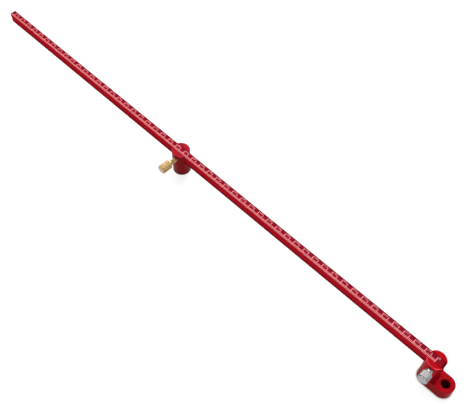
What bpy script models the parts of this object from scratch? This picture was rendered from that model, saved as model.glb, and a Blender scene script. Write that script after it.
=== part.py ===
"""Carpenter's beam compass: a long graduated beam, a fixed head with a pencil ear, and a sliding pivot.

The beam lies in an open slot across the top of each body and is gripped there by a knurled thumb
screw, which bears on it through a pad. The head stands flat on the work, the slider on its steel point.
X runs along the beam towards the head, -Y is the side of the thumb screws and Z is up. The origin is
on the head's axis, where the scale has its zero, in the plane of the work. Lengths are in metres.
"""
import math

import bmesh
import bpy

# Beam
BEAM_WIDTH = 0.0060
BEAM_HEIGHT = 0.0102
BEAM_REACH = 0.5255
BEAM_CHAMFER = 0.0002
BEAM_HEAD_INSET = 0.0024

# Head: a round post with a low ear that holds the pencil
HEAD_DIAMETER = 0.0152
HEAD_HEIGHT = 0.0330
BODY_CHAMFER = 0.0004
EAR_REACH = 0.0143
EAR_THICKNESS = 0.0108
EAR_SIDE_INSET = 0.00002
EAR_CHAMFER = 0.0007
EAR_FILLET = 0.0010
PENCIL_HOLE_DIAMETER = 0.0072
PENCIL_HOLE_CHAMFER = 0.0002

# Slider: a round post on a steel point
SLIDER_DIAMETER = 0.0163
SLIDER_PLACE = 0.2746
SLIDER_LIFT = 0.0062
NEEDLE_DIAMETER = 0.0024
NEEDLE_SEAT = 0.0100
NEEDLE_POINT = 0.0034
NEEDLE_TIP_DIAMETER = 0.0003

# Slots and fits
BEAM_PROUD = 0.0003
SLOT_GAP = 0.0003
PIECE_GAP = 0.0003
STUD_GAP = 0.0003
CUT_OVERRUN = 0.0010
MERGE_DISTANCE = 0.000001

# Thumb screws
SCREW_OFFSET = 0.0008
SCREW_DROP_SHARE = 0.64
STUD_DIAMETER = 0.0040
THREAD_PITCH = 0.0007
THREAD_DEPTH = 0.00035
KNOB_DIAMETER = 0.0082
HEAD_KNOB_LENGTH = 0.0074
SLIDER_KNOB_LENGTH = 0.0100
KNOB_CHAMFER = 0.0005
KNOB_RIM = 0.0009
KNOB_GROOVE = 0.0003
KNURL_DEPTH = 0.00022
SHOULDER_DIAMETER = 0.0052
HEAD_SHOULDER_LENGTH = 0.0022
SLIDER_SHOULDER_LENGTH = 0.0012
STUD_GRIP = 0.0060
HEAD_STANDOFF = 0.0030
SLIDER_STANDOFF = 0.0065
PAD_DIAMETER = 0.0050
PAD_THICKNESS = 0.0010
PAD_CHAMFER = 0.0002
SLIDER_PAD_OPENING = 0.0009
HEAD_PAD_OPENING = 0.0003
PAD_TRAVEL = 0.0010

# Set screws and stop pin
SET_SCREW_DIAMETER = 0.0030
SET_SCREW_SOCKET = 0.0015
SOCKET_DEPTH = 0.0012
SET_SCREW_RECESS = 0.0004
GRIP_TIP_DIAMETER = 0.0020
GRIP_TIP_LENGTH = 0.0008
STOP_PIN_DIAMETER = 0.0015
STOP_PIN_INSET = 0.0018
STOP_PIN_OFFSET = 0.0014
STOP_PIN_RECESS = 0.0005
STOP_PIN_DROP = 0.0012

# Facets around the round pieces
BODY_SEGMENTS = 96
SMALL_SEGMENTS = 32
KNURL_COLUMNS = 40
KNURL_ROWS = 12
FILLET_STEPS = 6
EAR_ROUND_STEPS = 2

HEAD_RADIUS = HEAD_DIAMETER / 2
SLIDER_RADIUS = SLIDER_DIAMETER / 2
TOP_Z = HEAD_HEIGHT
BEAM_TOP_Z = TOP_Z + BEAM_PROUD
BEAM_BOTTOM_Z = BEAM_TOP_Z - BEAM_HEIGHT
SLOT_FLOOR_Z = BEAM_BOTTOM_Z - PIECE_GAP
SLOT_HALF_WIDTH = BEAM_WIDTH / 2 + SLOT_GAP
BEAM_END_X = HEAD_RADIUS - BEAM_HEAD_INSET
SCREW_Z = BEAM_TOP_Z - BEAM_HEIGHT * SCREW_DROP_SHARE
NEEDLE_TOP_Z = SLIDER_LIFT + NEEDLE_SEAT
PAD_POCKET_DEPTH = PAD_THICKNESS + PAD_TRAVEL

PARTS = "carpenters_compass"
CUTTERS = "cutters"


def clear_scene():
    """Remove every object, so that the model starts from an empty scene."""
    for item in list(bpy.data.objects):
        bpy.data.objects.remove(item, do_unlink=True)


def new_collection(name):
    """Make a collection in the scene."""
    group = bpy.data.collections.new(name)
    bpy.context.scene.collection.children.link(group)
    return group


def material(name, colour, roughness, metallic):
    """A plain surface finish."""
    finish = bpy.data.materials.new(name)
    finish.use_nodes = True
    shader = finish.node_tree.nodes["Principled BSDF"]
    shader.inputs["Base Color"].default_value = (*colour, 1)
    shader.inputs["Roughness"].default_value = roughness
    shader.inputs["Metallic"].default_value = metallic
    finish.diffuse_color = (*colour, 1)
    return finish


def make_finishes():
    """The finishes of the whole tool."""
    return {
        "red": material("red_anodised", (0.45, 0.006, 0.015), 0.32, 0.85),
        "beam": material("red_anodised_beam", (0.38, 0.006, 0.014), 0.35, 0.85),
        "brass": material("brass", (0.78, 0.52, 0.20), 0.28, 1.0),
        "silver": material("bright_aluminium", (0.72, 0.73, 0.72), 0.30, 1.0),
        "steel": material("hardened_steel", (0.45, 0.45, 0.46), 0.25, 1.0),
        "black": material("blackened_steel", (0.03, 0.03, 0.032), 0.45, 0.8),
        "nylon": material("white_nylon", (0.80, 0.79, 0.74), 0.50, 0.0),
        "dark_nylon": material("black_nylon", (0.025, 0.025, 0.025), 0.50, 0.0),
    }


def link(item, group, finish=None):
    """Put an object in one collection and give it its finish."""
    for owner in list(item.users_collection):
        owner.objects.unlink(item)
    group.objects.link(item)
    if finish:
        item.data.materials.clear()
        item.data.materials.append(finish)
    return item


def evaluated_copy(item, name):
    """A plain mesh object with the shape that an object's modifiers give."""
    bpy.context.view_layer.update()
    graph = bpy.context.evaluated_depsgraph_get()
    mesh = bpy.data.meshes.new_from_object(item.evaluated_get(graph))
    copy = bpy.data.objects.new(name, mesh)
    copy.matrix_world = item.matrix_world.copy()
    bpy.context.scene.collection.objects.link(copy)
    bpy.data.objects.remove(item, do_unlink=True)
    return copy


def weld(item, distance):
    """Join points that lie on each other."""
    build = bmesh.new()
    build.from_mesh(item.data)
    bmesh.ops.remove_doubles(build, verts=build.verts, dist=distance)
    build.to_mesh(item.data)
    build.free()


def turned(name, profile, segments, closed=False):
    """A body of revolution about Z from (radius, height) points that run down its outer side."""
    mesh = bpy.data.meshes.new(name)
    edges = [(i, i + 1) for i in range(len(profile) - 1)]
    if closed:
        edges.append((len(profile) - 1, 0))
    mesh.from_pydata([(radius, 0, height) for radius, height in profile], edges, [])
    item = bpy.data.objects.new(name, mesh)
    bpy.context.scene.collection.objects.link(item)
    screw = item.modifiers.new("turn", "SCREW")
    screw.steps = segments
    screw.render_steps = segments
    screw.use_merge_vertices = True
    screw.merge_threshold = MERGE_DISTANCE
    screw.use_smooth_shade = True
    return evaluated_copy(item, name)


def cylinder_profile(radius, low, high, chamfer):
    """The outline of a round bar with chamfered ends, from the top of its axis to the bottom."""
    return [
        (0, high),
        (radius - chamfer, high),
        (radius, high - chamfer),
        (radius, low + chamfer),
        (radius - chamfer, low),
        (0, low),
    ]


def turn_to_y(item, x, z):
    """Lay a body that was turned about Z along Y, with what was up facing the thumb screws' side."""
    item.rotation_euler = (math.pi / 2, 0, 0)
    item.location = (x, 0, z)
    return item


def box(name, low, high):
    """A box between two corners."""
    bpy.ops.mesh.primitive_cube_add(size=1, location=[(a + b) / 2 for a, b in zip(low, high)])
    item = bpy.context.active_object
    item.name = name
    item.scale = [b - a for a, b in zip(low, high)]
    bpy.ops.object.transform_apply(location=False, rotation=False, scale=True)
    return item


def round_cutter(name, group, radius, low, high, segments=SMALL_SEGMENTS):
    """A round cutter along Z between two heights."""
    cutter = turned(name, [(0, high), (radius, high), (radius, low), (0, low)], segments)
    return as_cutter(cutter, group)


def hex_cutter(name, group, across, low, high):
    """A six-sided cutter along Z for a socket."""
    radius = across / 2 / math.cos(math.pi / 6)
    return round_cutter(name, group, radius, low, high, segments=6)


def as_cutter(item, group):
    """Keep an object as a guide that only shapes others."""
    link(item, group)
    item.hide_render = True
    item.display_type = "WIRE"
    return item


def combine(item, other, operation):
    """Join, cut or intersect an object with another one."""
    step = item.modifiers.new(other.name, "BOOLEAN")
    step.operation = operation
    step.object = other


def break_edges(item, width, segments):
    """Chamfer the sharp edges of an object, or round them in a few segments."""
    bevel = item.modifiers.new("broken_edges", "BEVEL")
    bevel.width = width
    bevel.segments = segments
    bevel.limit_method = "ANGLE"
    bevel.angle_limit = math.pi / 6


def shade(item, angle=math.pi / 6):
    """Shade a round piece smooth and keep its sharp edges."""
    item.data.shade_smooth()
    item.data.set_sharp_from_angle(angle=angle)


def finish_part(item, name, group, finish):
    """Name a finished piece and put it with the others."""
    item.name = name
    item.data.name = name
    link(item, group, finish)
    return item


def stop_pin_place():
    """Where the stop pin stands in the beam."""
    return (STOP_PIN_INSET - BEAM_REACH, STOP_PIN_OFFSET)


def make_beam(parts, cutters, finish):
    """The rectangular bar with the hole for its stop pin."""
    half = BEAM_WIDTH / 2
    beam = box("beam", (-BEAM_REACH, -half, BEAM_BOTTOM_Z), (BEAM_END_X, half, BEAM_TOP_Z))
    break_edges(beam, BEAM_CHAMFER, 1)
    hole = round_cutter("stop_pin_hole", cutters, STOP_PIN_DIAMETER / 2 + STUD_GAP,
                        BEAM_BOTTOM_Z - CUT_OVERRUN, BEAM_TOP_Z + CUT_OVERRUN)
    hole.location = (*stop_pin_place(), 0)
    combine(beam, hole, "DIFFERENCE")
    return finish_part(beam, "beam", parts, finish)


def make_stop_pin(parts, finish):
    """The pin that stands below the beam, so that the slider can't leave it."""
    profile = cylinder_profile(STOP_PIN_DIAMETER / 2, BEAM_BOTTOM_Z - STOP_PIN_DROP,
                               BEAM_TOP_Z - STOP_PIN_RECESS, PAD_CHAMFER)
    pin = turned("beam_stop_pin", profile, SMALL_SEGMENTS)
    pin.location = (*stop_pin_place(), 0)
    shade(pin)
    return finish_part(pin, "beam_stop_pin", parts, finish)


def cut_beam_slot(body, cutters, radius, x):
    """Cut the open slot that the beam lies in."""
    reach = radius + CUT_OVERRUN
    slot = box(body.name + "_slot", (x - reach, -SLOT_HALF_WIDTH, SLOT_FLOOR_Z),
               (x + reach, SLOT_HALF_WIDTH, TOP_Z + CUT_OVERRUN))
    combine(body, as_cutter(slot, cutters), "DIFFERENCE")


def cut_screw_hole(body, cutters, radius, x):
    """Cut the threaded hole of a thumb screw, with the wider pocket of its pad."""
    narrow = STUD_DIAMETER / 2 + STUD_GAP
    wide = PAD_DIAMETER / 2 + STUD_GAP
    pocket = SLOT_HALF_WIDTH + PAD_POCKET_DEPTH
    outside = radius + CUT_OVERRUN
    profile = [(0, outside), (narrow, outside), (narrow, pocket), (wide, pocket), (wide, 0), (0, 0)]
    hole = as_cutter(turned(body.name + "_screw_hole", profile, SMALL_SEGMENTS), cutters)
    turn_to_y(hole, x + SCREW_OFFSET, SCREW_Z)
    combine(body, hole, "DIFFERENCE")


def ear_outline():
    """Half-round outline of the ear, from the head's axis to its round end."""
    half = HEAD_RADIUS - EAR_SIDE_INSET
    steps = BODY_SEGMENTS // 2
    points = [(0, -half)]
    for i in range(steps + 1):
        turn = math.pi * i / steps - math.pi / 2
        points.append((EAR_REACH + half * math.cos(turn), half * math.sin(turn)))
    points.append((0, half))
    return points


def make_ear():
    """The low plate that carries the pencil."""
    curve = bpy.data.curves.new("ear", "CURVE")
    curve.dimensions = "2D"
    curve.fill_mode = "BOTH"
    curve.extrude = EAR_THICKNESS / 2
    outline = ear_outline()
    spline = curve.splines.new("POLY")
    spline.points.add(len(outline) - 1)
    for point, (x, y) in zip(spline.points, outline):
        point.co = (x, y, 0, 1)
    spline.use_cyclic_u = True
    item = bpy.data.objects.new("ear", curve)
    item.location = (0, 0, EAR_THICKNESS / 2)
    bpy.context.scene.collection.objects.link(item)
    ear = evaluated_copy(item, "ear")
    weld(ear, MERGE_DISTANCE)
    break_edges(ear, EAR_CHAMFER, EAR_ROUND_STEPS)
    return ear


def make_ear_fillet(cutters):
    """The cove between the round post and the top of the ear."""
    sunk = EAR_FILLET / 4
    centre_r = HEAD_RADIUS + EAR_FILLET
    centre_z = EAR_THICKNESS + EAR_FILLET
    profile = [(HEAD_RADIUS - sunk, centre_z)]
    for i in range(FILLET_STEPS + 1):
        turn = math.pi / 2 * i / FILLET_STEPS
        profile.append((centre_r - EAR_FILLET * math.cos(turn), centre_z - EAR_FILLET * math.sin(turn)))
    profile.append((centre_r, EAR_THICKNESS - sunk))
    profile.append((HEAD_RADIUS - sunk, EAR_THICKNESS - sunk))
    cove = turned("ear_fillet", profile, BODY_SEGMENTS, closed=True)
    side = HEAD_RADIUS - EAR_CHAMFER
    room = box("ear_fillet_room", (0, -side, 0), (centre_r + CUT_OVERRUN, side, HEAD_HEIGHT))
    combine(cove, as_cutter(room, cutters), "INTERSECT")
    return as_cutter(cove, cutters)


def cut_pencil_hole(head, cutters):
    """Cut the pencil's hole, with its edges broken, and the hole of its grip screw."""
    radius = PENCIL_HOLE_DIAMETER / 2
    wide = radius + PENCIL_HOLE_CHAMFER
    over = PENCIL_HOLE_CHAMFER
    profile = [
        (0, EAR_THICKNESS + over),
        (wide + over, EAR_THICKNESS + over),
        (radius, EAR_THICKNESS - PENCIL_HOLE_CHAMFER),
        (radius, PENCIL_HOLE_CHAMFER),
        (wide + over, -over),
        (0, -over),
    ]
    hole = as_cutter(turned("pencil_hole", profile, BODY_SEGMENTS // 2), cutters)
    hole.location = (EAR_REACH, 0, 0)
    combine(head, hole, "DIFFERENCE")
    side = round_cutter("grip_screw_hole", cutters, SET_SCREW_DIAMETER / 2 + STUD_GAP,
                        0, HEAD_RADIUS + CUT_OVERRUN)
    side.rotation_euler = (-math.pi / 2, 0, 0)
    side.location = (EAR_REACH, 0, EAR_THICKNESS / 2)
    combine(head, side, "DIFFERENCE")


def make_head(parts, cutters, finish):
    """The fixed head: round post, ear, slot, screw hole and pencil hole."""
    head = turned("head_body", cylinder_profile(HEAD_RADIUS, 0, TOP_Z, BODY_CHAMFER), BODY_SEGMENTS)
    ear = as_cutter(make_ear(), cutters)
    combine(head, ear, "UNION")
    combine(head, make_ear_fillet(cutters), "UNION")
    cut_beam_slot(head, cutters, HEAD_RADIUS, 0)
    cut_screw_hole(head, cutters, HEAD_RADIUS, 0)
    cut_pencil_hole(head, cutters)
    shade(head)
    return finish_part(head, "head_body", parts, finish)


def make_slider(parts, cutters, finish):
    """The sliding body: round post, slot, screw hole, needle bore and set screw hole."""
    profile = cylinder_profile(SLIDER_RADIUS, SLIDER_LIFT, TOP_Z, BODY_CHAMFER)
    slider = turned("slider_body", profile, BODY_SEGMENTS)
    slider.location = (-SLIDER_PLACE, 0, 0)
    cut_beam_slot(slider, cutters, SLIDER_RADIUS, -SLIDER_PLACE)
    cut_screw_hole(slider, cutters, SLIDER_RADIUS, -SLIDER_PLACE)
    bore = round_cutter("needle_bore", cutters, NEEDLE_DIAMETER / 2 + STUD_GAP,
                        SLIDER_LIFT - CUT_OVERRUN, NEEDLE_TOP_Z + PIECE_GAP)
    bore.location = (-SLIDER_PLACE, 0, 0)
    combine(slider, bore, "DIFFERENCE")
    side = round_cutter("set_screw_hole", cutters, SET_SCREW_DIAMETER / 2 + STUD_GAP,
                        PIECE_GAP, SLIDER_RADIUS + CUT_OVERRUN)
    side.rotation_euler = (-math.pi / 2, 0, 0)
    side.location = (-SLIDER_PLACE, 0, SLIDER_LIFT + NEEDLE_SEAT / 2)
    combine(slider, side, "DIFFERENCE")
    shade(slider)
    return finish_part(slider, "slider_body", parts, finish)


def make_needle(parts, finish):
    """The hardened point that the compass turns on."""
    radius = NEEDLE_DIAMETER / 2
    profile = [
        (0, NEEDLE_TOP_Z),
        (radius - PAD_CHAMFER, NEEDLE_TOP_Z),
        (radius, NEEDLE_TOP_Z - PAD_CHAMFER),
        (radius, NEEDLE_POINT),
        (NEEDLE_TIP_DIAMETER / 2, 0),
        (0, 0),
    ]
    needle = turned("pivot_needle", profile, SMALL_SEGMENTS)
    needle.location = (-SLIDER_PLACE, 0, 0)
    shade(needle)
    return finish_part(needle, "pivot_needle", parts, finish)


def make_set_screw(name, parts, cutters, inner, outer, place, finish):
    """A headless screw on the far side, from its inner to its outer distance from the centre plane."""
    screw = turned(name, cylinder_profile(SET_SCREW_DIAMETER / 2, inner, outer, PAD_CHAMFER), SMALL_SEGMENTS)
    socket = hex_cutter(name + "_socket", cutters, SET_SCREW_SOCKET, outer - SOCKET_DEPTH,
                        outer + CUT_OVERRUN)
    combine(screw, socket, "DIFFERENCE")
    for item in (screw, socket):
        item.rotation_euler = (-math.pi / 2, 0, 0)
        item.location = place
    shade(screw)
    return finish_part(screw, name, parts, finish)


def make_needle_screw(parts, cutters, finish):
    """The set screw that holds the needle in the slider."""
    inner = NEEDLE_DIAMETER / 2 + PIECE_GAP
    place = (-SLIDER_PLACE, 0, SLIDER_LIFT + NEEDLE_SEAT / 2)
    make_set_screw("needle_set_screw", parts, cutters, inner, SLIDER_RADIUS - SET_SCREW_RECESS, place, finish)


def make_pencil_screw(parts, cutters, steel, nylon):
    """The set screw that grips the pencil, and its soft tip."""
    place = (EAR_REACH, 0, EAR_THICKNESS / 2)
    tip_inner = PENCIL_HOLE_DIAMETER / 2 + SET_SCREW_RECESS
    tip_outer = tip_inner + GRIP_TIP_LENGTH
    profile = cylinder_profile(GRIP_TIP_DIAMETER / 2, tip_inner, tip_outer, PAD_CHAMFER)
    tip = turned("pencil_grip_tip", profile, SMALL_SEGMENTS)
    tip.rotation_euler = (-math.pi / 2, 0, 0)
    tip.location = place
    shade(tip)
    finish_part(tip, "pencil_grip_tip", parts, nylon)
    make_set_screw("pencil_grip_screw", parts, cutters, tip_outer + PIECE_GAP,
                   HEAD_RADIUS - SET_SCREW_RECESS, place, steel)


def thread_profile(radius, low, high):
    """The outline of a threaded stud, as rings one pitch apart, from the top of its axis to the bottom."""
    root = radius - THREAD_DEPTH
    turns = max(1, int((high - low) / THREAD_PITCH))
    pitch = (high - low) / turns
    profile = [(0, high), (root, high)]
    for i in range(turns):
        start = high - pitch * i
        profile.append((radius, start - pitch / 2))
        profile.append((root, start - pitch))
    profile.append((0, low))
    return profile


def make_pad(name, parts, x, near, finish):
    """The swivel pad at the tip of a thumb screw, from its near face outwards."""
    profile = cylinder_profile(PAD_DIAMETER / 2, near, near + PAD_THICKNESS, PAD_CHAMFER)
    pad = turned(name, profile, SMALL_SEGMENTS)
    turn_to_y(pad, x, SCREW_Z)
    shade(pad)
    finish_part(pad, name, parts, finish)


def knob_profile(base, inner, outer):
    """The outline of a knurled knob with its shoulder, from its outer end down to its base."""
    radius = KNOB_DIAMETER / 2
    rim = outer - KNOB_RIM
    shoulder = SHOULDER_DIAMETER / 2
    knurl_low = inner + KNOB_CHAMFER
    knurl_high = rim - KNOB_GROOVE
    rows = [knurl_high + (knurl_low - knurl_high) * i / KNURL_ROWS for i in range(KNURL_ROWS + 1)]
    profile = [
        (0, outer),
        (radius - KNOB_CHAMFER, outer),
        (radius, outer - KNOB_CHAMFER),
        (radius, rim),
        (radius - KNOB_GROOVE, rim - KNOB_GROOVE / 2),
    ]
    profile += [(radius, height) for height in rows]
    profile += [
        (radius - KNOB_CHAMFER, inner),
        (shoulder, inner),
        (shoulder, base),
        (0, base),
    ]
    return profile, rows[1:-1]


def press_knurl(knob, rows):
    """Push every second crossing of the rows and columns in, which leaves a diamond pattern."""
    spacing = rows[0] - rows[1]
    for point in knob.data.vertices:
        x, y, z = point.co
        row = round((rows[0] - z) / spacing)
        on_row = abs(rows[0] - z - row * spacing) < spacing / 10 and 0 <= row < len(rows)
        if not on_row or math.hypot(x, y) < KNOB_DIAMETER / 2 - KNURL_DEPTH:
            continue
        column = round(math.atan2(y, x) / (2 * math.pi) * KNURL_COLUMNS)
        if (row + column) % 2:
            share = 1 - KNURL_DEPTH / (KNOB_DIAMETER / 2)
            point.co.x = x * share
            point.co.y = y * share


def make_thumb_screw(label, parts, cutters, x, knob_inner, shoulder, knob_length, opening,
                     knob_finish, pad_finish):
    """A knob on its threaded stud, and the pad that bears on the beam."""
    screw_x = x + SCREW_OFFSET
    pad_near = SLOT_HALF_WIDTH - SLOT_GAP + opening
    make_pad(label + "_clamp_pad", parts, screw_x, pad_near, pad_finish)
    stud_low = pad_near + PAD_THICKNESS + PIECE_GAP
    knob_base = knob_inner - shoulder
    stud_high = knob_base + STUD_GRIP
    stud = turned(label + "_clamp_stud", thread_profile(STUD_DIAMETER / 2, stud_low, stud_high),
                  SMALL_SEGMENTS)
    turn_to_y(stud, screw_x, SCREW_Z)
    shade(stud, angle=math.pi / 12)
    finish_part(stud, label + "_clamp_stud", parts, knob_finish)
    profile, rows = knob_profile(knob_base, knob_inner, knob_inner + knob_length)
    knob = turned(label + "_clamp_knob", profile, KNURL_COLUMNS)
    press_knurl(knob, rows)
    turn_to_y(knob, screw_x, SCREW_Z)
    bore = round_cutter(label + "_knob_bore", cutters, STUD_DIAMETER / 2 + STUD_GAP,
                        knob_base - CUT_OVERRUN, stud_high + PIECE_GAP)
    turn_to_y(bore, screw_x, SCREW_Z)
    combine(knob, bore, "DIFFERENCE")
    shade(knob, angle=math.pi / 12)
    finish_part(knob, label + "_clamp_knob", parts, knob_finish)


def main():
    """Build every piece of the compass."""
    clear_scene()
    parts = new_collection(PARTS)
    cutters = new_collection(CUTTERS)
    finishes = make_finishes()
    make_beam(parts, cutters, finishes["beam"])
    make_stop_pin(parts, finishes["black"])
    make_head(parts, cutters, finishes["red"])
    make_pencil_screw(parts, cutters, finishes["black"], finishes["dark_nylon"])
    make_thumb_screw("head", parts, cutters, 0, HEAD_RADIUS + HEAD_STANDOFF, HEAD_SHOULDER_LENGTH,
                     HEAD_KNOB_LENGTH, HEAD_PAD_OPENING, finishes["silver"], finishes["nylon"])
    make_slider(parts, cutters, finishes["red"])
    make_thumb_screw("slider", parts, cutters, -SLIDER_PLACE, SLIDER_RADIUS + SLIDER_STANDOFF,
                     SLIDER_SHOULDER_LENGTH, SLIDER_KNOB_LENGTH, SLIDER_PAD_OPENING, finishes["brass"],
                     finishes["nylon"])
    make_needle(parts, finishes["steel"])
    make_needle_screw(parts, cutters, finishes["black"])


main()
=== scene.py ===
"""How the carpenter's compass looks: finishes, engraved scale, knurling, threads, light and camera.

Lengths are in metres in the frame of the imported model: X along the bar towards the head, -Y the side
of the thumb screws, Z up, with the origin under the head's axis.
"""
import math

import bmesh
import bpy
from mathutils import Matrix, Vector


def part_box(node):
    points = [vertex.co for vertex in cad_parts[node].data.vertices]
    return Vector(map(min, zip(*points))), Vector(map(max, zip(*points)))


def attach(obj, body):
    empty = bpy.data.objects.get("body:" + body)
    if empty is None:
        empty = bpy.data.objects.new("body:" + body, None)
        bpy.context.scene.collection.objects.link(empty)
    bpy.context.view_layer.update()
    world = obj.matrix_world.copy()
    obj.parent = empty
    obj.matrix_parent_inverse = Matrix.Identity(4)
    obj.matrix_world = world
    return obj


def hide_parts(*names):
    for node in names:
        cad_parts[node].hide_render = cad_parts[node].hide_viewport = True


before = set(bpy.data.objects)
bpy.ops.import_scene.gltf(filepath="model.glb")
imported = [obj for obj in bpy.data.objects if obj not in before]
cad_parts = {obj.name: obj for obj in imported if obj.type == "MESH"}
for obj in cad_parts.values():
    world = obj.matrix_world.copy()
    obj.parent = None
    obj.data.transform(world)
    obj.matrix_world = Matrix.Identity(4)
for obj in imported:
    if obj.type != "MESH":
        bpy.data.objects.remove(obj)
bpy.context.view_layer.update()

MM = 0.001

# Scale on the bar
TICK_WIDTH = 0.42 * MM
TALL_TICK_WIDTH = 0.54 * MM
BEAM_EDGE = 0.2 * MM
FINE_TICK_END_Y = -1.12 * MM
MIDDLE_TICK_END_Y = 1.60 * MM
TALL_TICK_END_Y = 1.85 * MM
MARK_HEIGHT = 0.03 * MM
FIGURE_SIZE = 2.3 * MM
FIGURE_LOW_Y = 0.80 * MM
FIGURE_START = 0.75 * MM
FIGURE_CURVE_STEPS = 3
# number of digits in a figure: (spacing, width) against the plain font
FIGURE_SPREAD = {1: (1.0, 1.2), 2: (1.3, 1.2), 3: (1.0, 1.0)}
TALL_EVERY = 10
MIDDLE_EVERY = 5
SCALE_START_X = -0.5 * MM
SCALE_END_MARGIN = 2.0 * MM

# Thumb screws
KNURL_GROOVES = 34
KNURL_ANGLE = math.radians(30)
KNURL_DEPTH = 0.24 * MM
KNURL_STEP = 0.13 * MM
KNURL_COLUMNS = KNURL_GROOVES * 6
KNURL_FLANK = 1.6
KNURL_TOUCH = 0.024 * MM
KNOB_CHAMFER = 0.45 * MM
KNOB_EDGE_START_SHARE = 1.6
KNOB_EDGE_END_SHARE = 1.2
KNOB_EDGE_ROUND_SHARE = 0.125
KNOB_SMOOTH_ANGLE = math.radians(40)
RIM_WIDTH = 0.75 * MM
RIM_GROOVE = 0.52 * MM
RIM_GROOVE_SLOPE_SHARE = 0.125
SHOULDER_RADIUS = 2.6 * MM
HEAD_SHOULDER_LENGTH = 2.2 * MM
SLIDER_SHOULDER_LENGTH = 1.2 * MM
BORE_GAP = 0.3 * MM
THREAD_PITCH = 0.7 * MM
THREAD_DEPTH = 0.38 * MM
THREAD_FLANK = 1.35
THREAD_ROOT = 0.15
THREAD_COLUMNS = 48
THREAD_ROWS_A_TURN = 10
THREAD_SMOOTH_ANGLE = math.radians(50)
# body that carries the screw: (length of the knob's shoulder, finish)
THUMB_SCREWS = {"head": (HEAD_SHOULDER_LENGTH, "bright_aluminium"),
                "slider": (SLIDER_SHOULDER_LENGTH, "turned_brass")}

# Reds of the anodised pieces, by height above the floor plane where a piece has more than one; the darker
# feet and ear top are painted shade, the brighter upper post is painted light and the bright rims are
# painted highlights
BODY_EDGE = 0.4 * MM
EDGE_STEP = 0.13 * MM
# Painted shade: each piece's red darkens towards its foot, standing in for the shade near the floor
FOOT_SHADE_HEIGHT = 1.6 * MM
HEAD_EAR_TOP = 10.8 * MM
HEAD_FOOT_SHADE_RED = (0.130, 0.0012, 0.0040)
HEAD_RED = (0.265, 0.0030, 0.0075)
# Painted shade: a darker red on the ear's top and at its join with the post, where the post shades it
HEAD_EAR_SHADE_RED = (0.228, 0.0026, 0.0065)
# Painted light: the post's side grows brighter upwards to this red, where more light falls on it
HEAD_LIT_HIGH_RED = (0.450, 0.0040, 0.0170)
# Painted highlight: the chamfer round the top of the head's post is given this bright pinkish red
HEAD_RIM_HIGHLIGHT_RED = (0.950, 0.0600, 0.0950)
HEAD_TOP_RED = (0.250, 0.0010, 0.0045)
# Painted shade: the slider's red darkens over this height towards its lower end
SLIDER_FOOT_SHADE_HEIGHT = 9.0 * MM
SLIDER_FOOT_SHADE_RED = (0.088, 0.0016, 0.0055)
SLIDER_RED = (0.180, 0.0022, 0.0070)
# Painted highlight: the chamfer round the top of the slider is given this bright red
SLIDER_RIM_HIGHLIGHT_RED = (0.550, 0.0300, 0.0500)
SLIDER_TOP_RED = (0.163, 0.0018, 0.0072)
# Painted shade: the bar's side darkens over this height towards its foot
BAR_FOOT_SHADE_HEIGHT = 4.4 * MM
BAR_FOOT_SHADE_RED = (0.100, 0.0034, 0.0070)
BAR_RED = (0.500, 0.0095, 0.0220)
BAR_TOP_RED = (0.168, 0.0044, 0.0130)
BAR_TOP_ALONG_CHANGES = (0.08, -0.08)
BAR_TOP_CHANGE_Y = (-0.6 * MM, 1.6 * MM)
BAR_TOP_ACROSS_CHANGES = (0.16, -0.05)
RED_EDGE_TINT = (0.70, 0.02, 0.05)

# Surfaces: scales of noise are for a point in metres, a range of roughness or shares follows the noise
NOISE_RANGE = (0.3, 0.7)
RED_METALLIC = 0.45
HEAD_GLOSS = 0.025
SLIDER_GLOSS = 0.12
RED_COAT = 0.015
RED_COAT_ROUGHNESS = 0.16
RED_MOTTLE_SCALE = 260.0
RED_MOTTLE_SHARES = (1.06, 0.92)
RED_POLISH_SCALE = 1400.0
RED_ROUGHNESS = (0.26, 0.36)
RED_GRAIN_SCALE = 9000.0
RED_GRAIN_STRENGTH = 0.25
LATHE_SPACING = 0.28 * MM
LATHE_DEPTH = 0.004 * MM
LATHE_STRENGTH = 0.35
LATHE_WOBBLE_SCALE = 900.0
BAR_METALLIC = 0.15
BAR_STREAK_SCALES = (40, 9000, 9000)
BAR_STREAK_SHARES = (1.1, 0.88)
BAR_ROUGHNESS = (0.30, 0.42)
BAR_STREAK_DEPTH = 0.006 * MM
METAL_TONE_SCALE = 500.0
METAL_TONE_RANGE = (0.35, 0.75)
METAL_POLISH_SCALE = 2600.0
METAL_GRAIN_SCALE = 7000.0
METAL_GRAIN_DEPTH = 0.005 * MM
PLASTIC_ROUGHNESS = 0.5
PLASTIC_TONE_SCALE = 900.0
PLASTIC_GRAIN_SCALE = 6000.0
PLASTIC_GRAIN_DEPTH = 0.01 * MM
GRAIN_STRENGTH = 0.3
MARK_ROUGHNESS = 0.55
MARK_WEAR_SCALE = 1800.0
MARK_WEAR_RANGE = (0.35, 0.7)
METALS = {
    # name: (light, dark, range of roughness)
    "turned_brass": ((0.45, 0.312, 0.150), (0.35, 0.232, 0.106), (0.12, 0.20)),
    "bright_aluminium": ((0.35, 0.35, 0.35), (0.28, 0.28, 0.28), (0.18, 0.28)),
    "hardened_steel": ((0.52, 0.52, 0.53), (0.40, 0.40, 0.42), (0.18, 0.28)),
    "blackened_steel": ((0.028, 0.028, 0.030), (0.014, 0.014, 0.015), (0.45, 0.60)),
}
PLASTICS = {
    # name: (light, dark)
    "white_nylon": ((0.82, 0.81, 0.76), (0.70, 0.69, 0.64)),
    "black_nylon": ((0.030, 0.030, 0.030), (0.018, 0.018, 0.018)),
}
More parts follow.
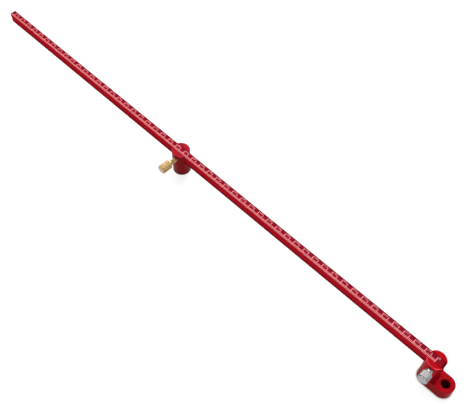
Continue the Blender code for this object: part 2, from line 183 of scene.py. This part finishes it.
PLAIN_NODES = {
    "beam_stop_pin": "blackened_steel",
    "pencil_grip_screw": "blackened_steel",
    "needle_set_screw": "blackened_steel",
    "head_clamp_pad": "white_nylon",
    "slider_clamp_pad": "white_nylon",
    "pencil_grip_tip": "black_nylon",
    "pivot_needle": "hardened_steel",
}

# Pale marks of the scale: the light and dark of the worn fill, near the head and at the far end
MARK_NEAR = ((0.95, 0.335, 0.355), (0.82, 0.240, 0.260))
MARK_FAR = ((0.95, 0.220, 0.245), (0.82, 0.150, 0.175))

# Floor and lamps
FLOOR_GLOW = 0.75
FLOOR_ALBEDO = 0.36
FLOOR_HALF = 3.0
# Painted shade: the floor below the head's foot and in the ear's hole loses its glow and is darkened to this
# share, and the glow fades back in across a painted contact shadow round the foot
HOLE_SHADE_SHARE = 0.1
SHADE_CORE_SHARE = 0.9
CONTACT_SHADOW = 1.3 * MM
WORLD_STRENGTH = 0.5
WORLD_SHOWN = 0.95
LIGHTS = {
    # name: (place, size, power)
    "back_softbox": ((-1.08, 0.55, 1.00), (0.85, 0.85), 11.0),
    "head_softbox": ((-0.30, 0.55, 1.10), (0.5, 0.8), 6.5),
    "left_fill": ((-1.2, -0.35, 0.28), (0.6, 0.5), 1.0),
    "right_fill": ((0.80, -0.80, 0.60), (0.8, 0.7), 5.0),
}
LIGHT_TARGET = Vector((-0.2, 0, 0))

# Photograph's camera
FRAME_WIDTH = 466
FOCAL_PIXELS = 703.0
SENSOR_WIDTH = 36.0
CAMERA_PLACE = Vector((24.88, -246.40, 520.50)) * MM
CAMERA_RIGHT = Vector((0.7110, 0.7031, 0.0130))
CAMERA_FORWARD = Vector((-0.3869, 0.4065, -0.8277))
CAMERA_CLIP = 0.01

HEAD_AXIS_X = 0.0
SLIDER_AXIS_X = sum(corner.x for corner in map(Vector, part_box("slider_body"))) / 2


# Node helpers


def new_material(name, colour, roughness, metallic):
    """A material with its shader's plain values set, and the tools to build on it."""
    finish = bpy.data.materials.new(name)
    finish.use_nodes = True
    shader = finish.node_tree.nodes["Principled BSDF"]
    shader.inputs["Base Color"].default_value = (*colour, 1)
    shader.inputs["Roughness"].default_value = roughness
    shader.inputs["Metallic"].default_value = metallic
    return finish, finish.node_tree, shader


def add(tree, kind, settings=None, values=None):
    """Add a node, with its settings and the plain values of its inputs."""
    node = tree.nodes.new(kind)
    for key, value in (settings or {}).items():
        setattr(node, key, value)
    for key, value in (values or {}).items():
        node.inputs[key].default_value = value
    return node


def shade_of(colour, share):
    """A colour made lighter or darker."""
    return tuple(part * share for part in colour)


def math_node(tree, operation, first, second=0):
    """A step on one or two inputs, each a socket or a number."""
    node = add(tree, "ShaderNodeMath", {"operation": operation})
    for index, value in enumerate((first, second)):
        if isinstance(value, (int, float)):
            node.inputs[index].default_value = value
        else:
            tree.links.new(value, node.inputs[index])
    return node.outputs[0]


def object_point(tree, scale=(1, 1, 1), offset=(0, 0, 0)):
    """The point on the surface in the model's frame, moved and then scaled along each axis."""
    coordinates = add(tree, "ShaderNodeTexCoord")
    mapping = add(tree, "ShaderNodeMapping", {"vector_type": "POINT"})
    mapping.inputs["Scale"].default_value = scale
    mapping.inputs["Location"].default_value = [o * s for o, s in zip(offset, scale)]
    tree.links.new(coordinates.outputs["Object"], mapping.inputs["Vector"])
    return mapping.outputs["Vector"]


def noise(tree, point, scale, detail=3.0, roughness=0.5):
    """Soft noise at a point."""
    node = add(tree, "ShaderNodeTexNoise",
               values={"Scale": scale, "Detail": detail, "Roughness": roughness})
    tree.links.new(point, node.inputs["Vector"])
    return node.outputs["Fac"]


def ramp(tree, value, low, high, out_low, out_high):
    """Map a value from one range to another."""
    node = add(tree, "ShaderNodeMapRange", {"clamp": True},
               {"From Min": low, "From Max": high, "To Min": out_low, "To Max": out_high})
    tree.links.new(value, node.inputs["Value"])
    return node.outputs["Result"]


def spread(tree, value, outputs, inputs=NOISE_RANGE):
    """Map the used part of a noise to a range of outputs."""
    return ramp(tree, value, *inputs, *outputs)


def reach_of(tree, x, y):
    """The distance of a point from an upright axis."""
    square = math_node(tree, "ADD", math_node(tree, "MULTIPLY", x, x), math_node(tree, "MULTIPLY", y, y))
    return math_node(tree, "SQRT", square)


def mix_colours(tree, factor, first, second):
    """Blend from one colour to another, each plain or from a socket."""
    node = add(tree, "ShaderNodeMix", {"data_type": "RGBA"})
    tree.links.new(factor, node.inputs["Factor"])
    for name, colour in (("A", first), ("B", second)):
        if isinstance(colour, tuple):
            node.inputs[name].default_value = (*colour, 1)
        else:
            tree.links.new(colour, node.inputs[name])
    return node.outputs["Result"]


def coordinate(tree, name):
    """One coordinate of the point on the surface in the model's frame."""
    parts = add(tree, "ShaderNodeSeparateXYZ")
    tree.links.new(object_point(tree), parts.inputs["Vector"])
    return parts.outputs[name]


def tones_by_height(tree, stops, share):
    """A colour that changes with height through stops of (height, colour), times a share."""
    low, high = stops[0][0], stops[-1][0]
    tones = add(tree, "ShaderNodeValToRGB")
    tree.links.new(ramp(tree, coordinate(tree, "Z"), low, high, 0, 1), tones.inputs["Fac"])
    marks = tones.color_ramp.elements
    marks[0].color = (*stops[0][1], 1)
    marks[1].color = (*stops[-1][1], 1)
    for height, colour in stops[1:-1]:
        marks.new((height - low) / (high - low)).color = (*colour, 1)
    shaded = add(tree, "ShaderNodeVectorMath", {"operation": "SCALE"})
    tree.links.new(tones.outputs["Color"], shaded.inputs[0])
    tree.links.new(share, shaded.inputs["Scale"])
    return shaded.outputs[0]


def bump(tree, height, distance, strength, after=None):
    """Relief from a height, laid over an earlier relief if there is one."""
    node = add(tree, "ShaderNodeBump", values={"Distance": distance, "Strength": strength})
    tree.links.new(height, node.inputs["Height"])
    if after:
        tree.links.new(after, node.inputs["Normal"])
    return node.outputs["Normal"]


def turned_lines(tree, axis_x):
    """Rings round a post's axis on its flat top, and lines round its side, as a lathe leaves them."""
    point = object_point(tree, offset=(-axis_x, 0, 0))
    parts = add(tree, "ShaderNodeSeparateXYZ")
    tree.links.new(point, parts.inputs["Vector"])
    both = math_node(tree, "ADD", reach_of(tree, parts.outputs["X"], parts.outputs["Y"]), parts.outputs["Z"])
    wobble = math_node(tree, "MULTIPLY", noise(tree, point, LATHE_WOBBLE_SCALE), LATHE_SPACING * 2)
    phase = math_node(tree, "MULTIPLY", math_node(tree, "ADD", both, wobble), 2 * math.pi / LATHE_SPACING)
    return math_node(tree, "SINE", phase)


# Finishes


def red_body_material(name, stops, gloss, axis_x):
    """Red anodised aluminium of a turned body: deep clear colour that changes with height through the stops,
    among them painted light and shade, with faint lathe lines.
    """
    finish, tree, shader = new_material(name, stops[-1][1], RED_ROUGHNESS[0], RED_METALLIC)
    shader.inputs["Specular Tint"].default_value = (*RED_EDGE_TINT, 1)
    shader.inputs["Specular IOR Level"].default_value = gloss
    shader.inputs["Coat Weight"].default_value = RED_COAT
    shader.inputs["Coat Roughness"].default_value = RED_COAT_ROUGHNESS
    point = object_point(tree)
    mottle = spread(tree, noise(tree, point, RED_MOTTLE_SCALE, detail=5.0), RED_MOTTLE_SHARES)
    tree.links.new(tones_by_height(tree, stops, mottle), shader.inputs["Base Color"])
    rough = spread(tree, noise(tree, point, RED_POLISH_SCALE), RED_ROUGHNESS)
    tree.links.new(rough, shader.inputs["Roughness"])
    lines = bump(tree, turned_lines(tree, axis_x), LATHE_DEPTH, LATHE_STRENGTH)
    fine = noise(tree, point, RED_GRAIN_SCALE, detail=2.0)
    grain = bump(tree, fine, LATHE_DEPTH, RED_GRAIN_STRENGTH, lines)
    tree.links.new(grain, shader.inputs["Normal"])
    return finish


def rim_stops(top_z, side, rim, top):
    """Stops for the upper end of a turned body: its side, the chamfer's painted highlight and the flat top.
    """
    return [(top_z - BODY_EDGE - EDGE_STEP, side), (top_z - BODY_EDGE, rim),
            (top_z - EDGE_STEP, rim), (top_z, top)]


def head_stops():
    """The head's reds: a foot darkened as painted shade, an even side, the ear's top darkened as painted
    shade from the post, the post brightening upwards as painted light, and a rim with a painted highlight.
    """
    low, high = (corner[2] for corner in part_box("head_body"))
    stops = [(low, HEAD_FOOT_SHADE_RED), (low + FOOT_SHADE_HEIGHT, HEAD_RED),
             (HEAD_EAR_TOP - 2 * EDGE_STEP, HEAD_RED), (HEAD_EAR_TOP - EDGE_STEP, HEAD_EAR_SHADE_RED),
             (HEAD_EAR_TOP + EDGE_STEP, HEAD_EAR_SHADE_RED), (HEAD_EAR_TOP + 2 * EDGE_STEP, HEAD_RED),
             ((HEAD_EAR_TOP + high) / 2, HEAD_LIT_HIGH_RED)]
    return stops + rim_stops(high, HEAD_LIT_HIGH_RED, HEAD_RIM_HIGHLIGHT_RED, HEAD_TOP_RED)


def slider_stops():
    """The slider's reds: darkened towards the foot as painted shade, with a painted highlight on the rim."""
    low, high = (corner[2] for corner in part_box("slider_body"))
    return [(low, SLIDER_FOOT_SHADE_RED), (low + SLIDER_FOOT_SHADE_HEIGHT, SLIDER_RED)] + rim_stops(
        high, SLIDER_RED, SLIDER_RIM_HIGHLIGHT_RED, SLIDER_TOP_RED)


def red_beam_material():
    """Red anodised aluminium of the drawn bar: fine streaks, a darker top and a foot darkened as painted
    shade.
    """
    finish, tree, shader = new_material("red_anodised_bar", BAR_RED, BAR_ROUGHNESS[0], BAR_METALLIC)
    shader.inputs["Specular Tint"].default_value = (*RED_EDGE_TINT, 1)
    shader.inputs["Specular IOR Level"].default_value = 0.0
    (far_end, _, low), (_, _, high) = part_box("beam")
    stops = [(low, BAR_FOOT_SHADE_RED), (low + BAR_FOOT_SHADE_HEIGHT, BAR_RED), (high - BEAM_EDGE, BAR_RED),
             (high - BEAM_EDGE / 2, BAR_TOP_RED), (high, BAR_TOP_RED)]
    stretched = object_point(tree, scale=BAR_STREAK_SCALES)
    streaks = noise(tree, stretched, 1.0, detail=4.0, roughness=0.6)
    tone = spread(tree, streaks, BAR_STREAK_SHARES)
    on_top = ramp(tree, coordinate(tree, "Z"), high - BEAM_EDGE, high - BEAM_EDGE / 2, 0, 1)
    along = ramp(tree, coordinate(tree, "X"), 0, far_end, *BAR_TOP_ALONG_CHANGES)
    across = ramp(tree, coordinate(tree, "Y"), *BAR_TOP_CHANGE_Y, *BAR_TOP_ACROSS_CHANGES)
    change = math_node(tree, "MULTIPLY", on_top, math_node(tree, "ADD", along, across))
    share = math_node(tree, "MULTIPLY", tone, math_node(tree, "ADD", change, 1))
    tree.links.new(tones_by_height(tree, stops, share), shader.inputs["Base Color"])
    tree.links.new(spread(tree, streaks, BAR_ROUGHNESS), shader.inputs["Roughness"])
    tree.links.new(bump(tree, streaks, BAR_STREAK_DEPTH, GRAIN_STRENGTH), shader.inputs["Normal"])
    return finish


def metal_material(name, light, dark, roughness):
    """Metal with small changes of tone and polish."""
    finish, tree, shader = new_material(name, light, roughness[0], 1.0)
    point = object_point(tree)
    tone = spread(tree, noise(tree, point, METAL_TONE_SCALE, detail=5.0), (0, 1), METAL_TONE_RANGE)
    tree.links.new(mix_colours(tree, tone, light, dark), shader.inputs["Base Color"])
    rough = spread(tree, noise(tree, point, METAL_POLISH_SCALE), roughness)
    tree.links.new(rough, shader.inputs["Roughness"])
    grain = bump(tree, noise(tree, point, METAL_GRAIN_SCALE), METAL_GRAIN_DEPTH, GRAIN_STRENGTH)
    tree.links.new(grain, shader.inputs["Normal"])
    return finish


def plastic_material(name, light, dark):
    """Moulded plastic with a fine grain."""
    finish, tree, shader = new_material(name, light, PLASTIC_ROUGHNESS, 0.0)
    point = object_point(tree)
    tone = spread(tree, noise(tree, point, PLASTIC_TONE_SCALE), (0, 1))
    tree.links.new(mix_colours(tree, tone, light, dark), shader.inputs["Base Color"])
    grain = bump(tree, noise(tree, point, PLASTIC_GRAIN_SCALE), PLASTIC_GRAIN_DEPTH, GRAIN_STRENGTH)
    tree.links.new(grain, shader.inputs["Normal"])
    return finish


def mark_material():
    """The pale worn fill of the engraved scale, a little redder towards the bar's far end."""
    finish, tree, shader = new_material("scale_fill", MARK_NEAR[0], MARK_ROUGHNESS, 0.0)
    wear = noise(tree, object_point(tree), MARK_WEAR_SCALE, detail=4.0)
    worn = spread(tree, wear, (0, 1), MARK_WEAR_RANGE)
    along = ramp(tree, coordinate(tree, "X"), 0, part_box("beam")[0][0], 0, 1)
    near, far = (mix_colours(tree, worn, light, dark) for light, dark in (MARK_NEAR, MARK_FAR))
    tree.links.new(mix_colours(tree, along, near, far), shader.inputs["Base Color"])
    return finish


# Building


def new_piece(name, mesh, body, finish, smooth_angle=None):
    """A finished piece that rides on a body."""
    item = bpy.data.objects.new(name, mesh)
    bpy.context.scene.collection.objects.link(item)
    mesh.materials.append(finish)
    if smooth_angle is not None:
        mesh.shade_smooth()
        mesh.set_sharp_from_angle(angle=smooth_angle)
    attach(item, body)
    return item


def tick_outline(side_y, top, end):
    """Points (y, z) of a tick that lies on the top of the bar and runs down over its chamfered edge."""
    edge_y = side_y + BEAM_EDGE
    edge_z = top - BEAM_EDGE
    return ((end, top + MARK_HEIGHT), (edge_y, top + MARK_HEIGHT), (side_y - MARK_HEIGHT, edge_z),
            (side_y + MARK_HEIGHT, edge_z), (edge_y, top - MARK_HEIGHT), (end, top - MARK_HEIGHT))


def add_tick(build, x, width, outline):
    """Add an outline drawn out along X to a mesh in the making."""
    ends = [[build.verts.new((x + side * width / 2, y, z)) for y, z in outline] for side in (-1, 1)]
    count = len(outline)
    for i in range(count):
        after = (i + 1) % count
        build.faces.new((ends[0][i], ends[0][after], ends[1][after], ends[1][i]))
    build.faces.new(ends[0][::-1])
    build.faces.new(ends[1])


def figure_mesh(text):
    """The mesh of a number, standing on its base line and starting at zero."""
    curve = bpy.data.curves.new("figure", "FONT")
    curve.body = text
    curve.size = FIGURE_SIZE
    curve.extrude = MARK_HEIGHT / 2
    spacing, width = FIGURE_SPREAD[len(text)]
    curve.space_character = spacing
    curve.resolution_u = FIGURE_CURVE_STEPS
    item = bpy.data.objects.new("figure", curve)
    bpy.context.scene.collection.objects.link(item)
    bpy.context.view_layer.update()
    mesh = bpy.data.meshes.new_from_object(item.evaluated_get(bpy.context.evaluated_depsgraph_get()))
    bpy.data.objects.remove(item, do_unlink=True)
    bpy.data.curves.remove(curve)
    mesh.transform(Matrix.Diagonal((width, 1, 1, 1)))
    return mesh


def make_scale(finish):
    """Millimetre ticks and their figures along the top of the bar."""
    low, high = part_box("beam")
    top = high[2]
    count = int((-low[0] - SCALE_END_MARGIN) / MM)
    build = bmesh.new()
    for step in range(count + 1):
        end, width = FINE_TICK_END_Y, TICK_WIDTH
        if step % TALL_EVERY == 0:
            end, width = TALL_TICK_END_Y, TALL_TICK_WIDTH
        elif step % MIDDLE_EVERY == 0:
            end = MIDDLE_TICK_END_Y
        x = SCALE_START_X - step * MM
        add_tick(build, x, width, tick_outline(low[1], top, end))
    for step in range(0, count + 1, TALL_EVERY):
        mesh = figure_mesh(str(step))
        x = SCALE_START_X - step * MM + FIGURE_START
        place = (x, FIGURE_LOW_Y, top + MARK_HEIGHT / 2)
        mesh.transform(Matrix.Translation(place))
        build.from_mesh(mesh)
        bpy.data.meshes.remove(mesh)
    mesh = bpy.data.meshes.new("scale_marks")
    bmesh.ops.recalc_face_normals(build, faces=build.faces)
    build.to_mesh(mesh)
    build.free()
    return new_piece("scale_marks", mesh, "beam", finish)


def lathe_mesh(name, centre, rows, columns, radius_at):
    """A mesh turned about a line along Y. Each row is (radius, distance from the bar's centre plane)."""
    build = bmesh.new()
    rings = []
    for radius, out in rows:
        if radius == 0:
            rings.append([build.verts.new((centre[0], -out, centre[1]))])
            continue
        ring = []
        for column in range(columns):
            turn = 2 * math.pi * column / columns
            reach = radius_at(radius, out, turn)
            ring.append(build.verts.new((centre[0] + reach * math.cos(turn), -out,
                                         centre[1] + reach * math.sin(turn))))
        rings.append(ring)
    for first, second in zip(rings, rings[1:]):
        for column in range(columns):
            after = (column + 1) % columns
            corners = [first[column % len(first)], first[after % len(first)],
                       second[after % len(second)], second[column % len(second)]]
            build.faces.new(list(dict.fromkeys(corners)))
    bmesh.ops.recalc_face_normals(build, faces=build.faces)
    mesh = bpy.data.meshes.new(name)
    build.to_mesh(mesh)
    build.free()
    return mesh


def triangle_wave(value):
    """A wave from 0 to 1 and back with period 1."""
    return abs(2 * (value - math.floor(value)) - 1)


def round_node(node):
    """Centre (x, z), radius, and the nearer and farther end from the bar, of a CAD node turned about Y."""
    low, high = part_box(node)
    return ((low[0] + high[0]) / 2, (low[2] + high[2]) / 2), (high[2] - low[2]) / 2, -high[1], -low[1]


def make_knob(node, stud_node, shoulder, body, finish):
    """A knob with a diamond knurl, a smooth rim beyond a groove, and a shoulder."""
    centre, radius, base, outer = round_node(node)
    _, stud_radius, _, stud_outer = round_node(stud_node)
    bore, bore_end = stud_radius + BORE_GAP, stud_outer + BORE_GAP
    inner = base + shoulder
    groove_out = outer - RIM_WIDTH
    groove_in = groove_out - RIM_GROOVE
    knurl_low, knurl_high = inner + KNOB_CHAMFER, groove_in

    def radius_at(at_radius, out, turn):
        if abs(at_radius - radius) > KNURL_TOUCH or not knurl_low <= out <= knurl_high:
            return at_radius
        lead = out * math.tan(KNURL_ANGLE) / radius / (2 * math.pi)
        place = turn / (2 * math.pi)
        first = triangle_wave(KNURL_GROOVES * (place + lead))
        second = triangle_wave(KNURL_GROOVES * (place - lead))
        near_end = min(1, (out - knurl_low) / KNURL_DEPTH, (knurl_high - out) / KNURL_DEPTH)
        return at_radius - KNURL_DEPTH * max(0, near_end) * (1 - min(1, KNURL_FLANK * min(first, second)))

    count = round((knurl_high - knurl_low) / KNURL_STEP)
    corner = KNOB_CHAMFER * KNOB_EDGE_ROUND_SHARE
    slope = RIM_GROOVE * RIM_GROOVE_SLOPE_SHARE
    rows = [(0, outer), (radius - KNOB_CHAMFER * KNOB_EDGE_START_SHARE, outer),
            (radius - KNOB_CHAMFER, outer - corner), (radius - corner, outer - KNOB_CHAMFER),
            (radius, outer - KNOB_CHAMFER * KNOB_EDGE_END_SHARE), (radius, groove_out),
            (radius - RIM_GROOVE, groove_out - slope), (radius - RIM_GROOVE, groove_in + slope)]
    rows += [(radius, knurl_high + (knurl_low - knurl_high) * i / count) for i in range(count + 1)]
    rows += [(radius - KNOB_CHAMFER, inner), (SHOULDER_RADIUS, inner), (SHOULDER_RADIUS, base),
             (bore, base), (bore, bore_end), (0, bore_end)]
    mesh = lathe_mesh(node + "_knurled", centre, rows, KNURL_COLUMNS, radius_at)
    piece = new_piece(node + "_knurled", mesh, body, finish, KNOB_SMOOTH_ANGLE)
    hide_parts(node)


def make_stud(node, body, finish):
    """A stud with a helical thread."""
    centre, radius, base, outer = round_node(node)

    def radius_at(at_radius, out, turn):
        if at_radius < radius:
            return at_radius
        wave = triangle_wave(out / THREAD_PITCH + turn / (2 * math.pi))
        run_out = min(1, (out - base) / THREAD_PITCH, (outer - out) / THREAD_PITCH)
        crest = min(1, max(0, THREAD_FLANK * wave - THREAD_ROOT))
        return at_radius - THREAD_DEPTH * (1 - crest * run_out)

    count = round((outer - base) / THREAD_PITCH * THREAD_ROWS_A_TURN)
    rows = [(0, outer)]
    rows += [(radius, outer + (base - outer) * i / count) for i in range(count + 1)]
    rows += [(0, base)]
    mesh = lathe_mesh(node + "_threaded", centre, rows, THREAD_COLUMNS, radius_at)
    piece = new_piece(node + "_threaded", mesh, body, finish, THREAD_SMOOTH_ANGLE)
    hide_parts(node)


def paint(node, finish):
    """Give a CAD node its finish."""
    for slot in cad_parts[node].material_slots:
        slot.material = finish


# Surroundings


def clear_of_head(tree):
    """Painted shade for the floor: 0 below the head and in the ear's hole, and 1 a little way outside the
    head's foot, fading across a painted contact shadow.
    """
    low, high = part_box("head_body")
    half = (high[1] - low[1]) / 2
    parts = add(tree, "ShaderNodeSeparateXYZ")
    tree.links.new(object_point(tree), parts.inputs["Vector"])
    beside = ramp(tree, parts.outputs["X"], 0, high[0] - half, 0, high[0] - half)
    across = math_node(tree, "SUBTRACT", parts.outputs["X"], beside)
    reach = reach_of(tree, across, parts.outputs["Y"])
    return ramp(tree, reach, half * SHADE_CORE_SHARE, half + CONTACT_SHADOW, 0, 1)


def seen_directly(tree):
    """1 for rays from the camera, from glossy surfaces and through clear ones, else 0."""
    path = add(tree, "ShaderNodeLightPath")
    seen = math_node(tree, "MAXIMUM", path.outputs["Is Camera Ray"], path.outputs["Is Glossy Ray"])
    return math_node(tree, "MAXIMUM", seen, path.outputs["Is Transmission Ray"])


def make_floor():
    """A pale floor that shows almost white and keeps the object's shadow, with painted shade below the head,
    in the ear's hole and round the head's foot.
    """
    mesh = bpy.data.meshes.new("floor")
    corners = [(x * FLOOR_HALF, y * FLOOR_HALF, 0) for x, y in ((-1, -1), (1, -1), (1, 1), (-1, 1))]
    mesh.from_pydata(corners, [], [(0, 1, 2, 3)])
    floor = bpy.data.objects.new("floor", mesh)
    bpy.context.scene.collection.objects.link(floor)
    finish = bpy.data.materials.new("pale_floor")
    finish.use_nodes = True
    tree = finish.node_tree
    tree.nodes.clear()
    output = add(tree, "ShaderNodeOutputMaterial")
    diffuse = add(tree, "ShaderNodeBsdfDiffuse")
    glow = add(tree, "ShaderNodeEmission", values={"Color": (1, 1, 1, 1)})
    # painted shade and contact shadow below and round the head's foot
    outside_painted_shade = clear_of_head(tree)
    shown = math_node(tree, "MULTIPLY", seen_directly(tree), FLOOR_GLOW)
    tree.links.new(math_node(tree, "MULTIPLY", shown, outside_painted_shade), glow.inputs["Strength"])
    pale = (FLOOR_ALBEDO, FLOOR_ALBEDO, FLOOR_ALBEDO)
    tree.links.new(mix_colours(tree, outside_painted_shade, shade_of(pale, HOLE_SHADE_SHARE), pale),
                   diffuse.inputs["Color"])
    total = add(tree, "ShaderNodeAddShader")
    tree.links.new(diffuse.outputs[0], total.inputs[0])
    tree.links.new(glow.outputs[0], total.inputs[1])
    tree.links.new(total.outputs[0], output.inputs["Surface"])
    mesh.materials.append(finish)


def make_lights():
    """Soft studio lamps and an even surround."""
    for name, (place, size, power) in LIGHTS.items():
        lamp = bpy.data.lights.new(name, "AREA")
        lamp.shape = "RECTANGLE"
        lamp.size, lamp.size_y = size
        lamp.energy = power
        item = bpy.data.objects.new(name, lamp)
        item.location = place
        item.rotation_euler = (LIGHT_TARGET - Vector(place)).to_track_quat("-Z", "Y").to_euler()
        bpy.context.scene.collection.objects.link(item)
    world = bpy.data.worlds.new("surround")
    world.use_nodes = True
    tree = world.node_tree
    back = tree.nodes["Background"]
    back.inputs["Color"].default_value = (1, 1, 1, 1)
    strength = ramp(tree, seen_directly(tree), 0, 1, WORLD_STRENGTH, WORLD_SHOWN)
    tree.links.new(strength, back.inputs["Strength"])
    bpy.context.scene.world = world


def make_camera():
    """The photograph's point of view."""
    right = CAMERA_RIGHT.normalized()
    forward = (CAMERA_FORWARD - CAMERA_FORWARD.dot(right) * right).normalized()
    up = right.cross(forward)
    lens = bpy.data.cameras.new("photo_camera")
    lens.sensor_width = SENSOR_WIDTH
    lens.lens = FOCAL_PIXELS * SENSOR_WIDTH / FRAME_WIDTH
    lens.clip_start = CAMERA_CLIP
    camera = bpy.data.objects.new("photo_camera", lens)
    turn = Matrix((right, up, -forward)).transposed()
    camera.matrix_world = Matrix.Translation(CAMERA_PLACE) @ turn.to_4x4()
    bpy.context.scene.collection.objects.link(camera)
    bpy.context.scene.camera = camera


def main():
    """Dress the model and set the scene."""
    finishes = {name: metal_material(name, *look) for name, look in METALS.items()}
    finishes.update({name: plastic_material(name, *look) for name, look in PLASTICS.items()})
    paint("head_body", red_body_material("red_anodised_head", head_stops(), HEAD_GLOSS, HEAD_AXIS_X))
    paint("slider_body",
          red_body_material("red_anodised_slider", slider_stops(), SLIDER_GLOSS, SLIDER_AXIS_X))
    paint("beam", red_beam_material())
    for node, name in PLAIN_NODES.items():
        paint(node, finishes[name])
    for carrier, (shoulder, name) in THUMB_SCREWS.items():
        knob, stud, body = carrier + "_clamp_knob", carrier + "_clamp_stud", carrier + "_screw"
        make_knob(knob, stud, shoulder, body, finishes[name])
        make_stud(stud, body, finishes[name])
    make_scale(mark_material())
    make_floor()
    make_lights()
    make_camera()
    bpy.context.scene.view_settings.view_transform = "Standard"


main()
